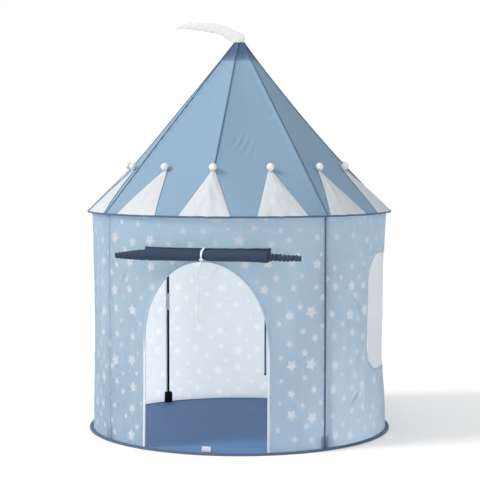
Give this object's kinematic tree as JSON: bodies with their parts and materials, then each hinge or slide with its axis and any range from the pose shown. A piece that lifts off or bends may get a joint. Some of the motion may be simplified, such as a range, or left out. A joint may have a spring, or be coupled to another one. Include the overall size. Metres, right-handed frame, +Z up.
{
  "type": "play tent",
  "caption": "Round children's play tent with a conical roof, bunting round the eave, a roll-up door curtain, net windows and a sewn-in floor on sprung hoops and jointed poles.",
  "frame": {"origin": "centre of the floor's underside, on the ground under the peak", "axes": "+Z up through the peak, -Y out of the doorway, +X to the right of someone who looks in"},
  "size_m": [1.005, 1.0336, 1.3378],
  "materials": {
    "wall_cloth": "light blue woven polyester with scattered paler stars",
    "roof_cloth": "plain blue woven polyester",
    "lining_cloth": "plain darker blue woven polyester",
    "curtain_cloth": "navy woven polyester",
    "floor_cloth": "plain blue coated polyester",
    "binding_tape": "dark blue woven tape",
    "white_cloth": "white woven polyester",
    "cream_tape": "off-white cotton tape",
    "window_net": "fine white-grey net",
    "black_webbing": "black woven webbing",
    "black_pole": "black glass-fibre rod, with a grey metal ferrule on each lower length",
    "black_plastic": "black moulded plastic",
    "spring_steel": "flat spring steel, hidden in its binding"
  },
  "bodies": {
    "tent": {"floor_mat": "floor_cloth", "floor_tag": "white_cloth", "base_hoop": "spring_steel", "base_binding": "binding_tape", "wall_front": "wall_cloth", "wall_right": "wall_cloth", "wall_back": "wall_cloth", "wall_left": "wall_cloth", "door_binding": "cream_tape", "window_net_right": "window_net", "window_net_left": "window_net", "eave_hoop": "spring_steel", "eave_binding_with_bunting": "white_cloth", "peak_reinforcement": "lining_cloth", "peak_cap": "white_cloth", "apex_hub": "black_plastic", "curtain_heading": "curtain_cloth", "tie_band": "cream_tape", "tie_tail": "cream_tape", "tie_end_knot": "cream_tape", "inner_tie": "lining_cloth", "foot_pocket_front_right": "black_webbing", "elbow_front_right": "black_plastic", "roof_sleeve_front_right": "lining_cloth", "wall_pole_lower_front_right": "black_pole", "wall_pole_upper_front_right": "black_pole", "roof_pole_lower_front_right": "black_pole", "roof_pole_upper_front_right": "black_pole", "foot_pocket_back_right": "black_webbing", "elbow_back_right": "black_plastic", "roof_sleeve_back_right": "lining_cloth", "wall_pole_lower_back_right": "black_pole", "wall_pole_upper_back_right": "black_pole", "roof_pole_lower_back_right": "black_pole", "roof_pole_upper_back_right": "black_pole", "foot_pocket_back_left": "black_webbing", "elbow_back_left": "black_plastic", "roof_sleeve_back_left": "lining_cloth", "wall_pole_lower_back_left": "black_pole", "wall_pole_upper_back_left": "black_pole", "roof_pole_lower_back_left": "black_pole", "roof_pole_upper_back_left": "black_pole", "foot_pocket_front_left": "black_webbing", "elbow_front_left": "black_plastic", "roof_sleeve_front_left": "lining_cloth", "wall_pole_lower_front_left": "black_pole", "wall_pole_upper_front_left": "black_pole", "roof_pole_lower_front_left": "black_pole", "roof_pole_upper_front_left": "black_pole", "roof_gore_1": "roof_cloth", "roof_gore_2": "roof_cloth", "roof_gore_3": "roof_cloth", "roof_gore_4": "roof_cloth", "roof_gore_5": "roof_cloth", "roof_gore_6": "roof_cloth", "roof_gore_7": "roof_cloth", "roof_gore_8": "roof_cloth"},
    "curtain": {"door_curtain": "curtain_cloth"},
    "door_roll": {"door_roll": "curtain_cloth"},
    "pennant": {"pennant": "white_cloth"}
  },
  "joints": [
    {"name": "door_drop", "type": "slide", "parent": "tent", "child": "curtain", "axis": [0, 0, -1], "range_m": [0, 0.575], "deforming": ["door_curtain", "tie_band"]},
    {"name": "door_turn", "type": "hinge", "parent": "curtain", "child": "door_roll", "pos_m": [0, -0.50286, 0.60505], "axis": [1, 0, 0], "range_deg": [0, 2520]},
    {"name": "pennant_turn", "type": "hinge", "parent": "tent", "child": "pennant", "pos_m": [0, 0, 1.2751], "axis": [0, 0, 1], "range_deg": [-60, 60]}
  ],
  "couplings": [
    {"joint": "door_turn", "follows": "door_drop", "rad_per_m": 76.491}
  ]
}
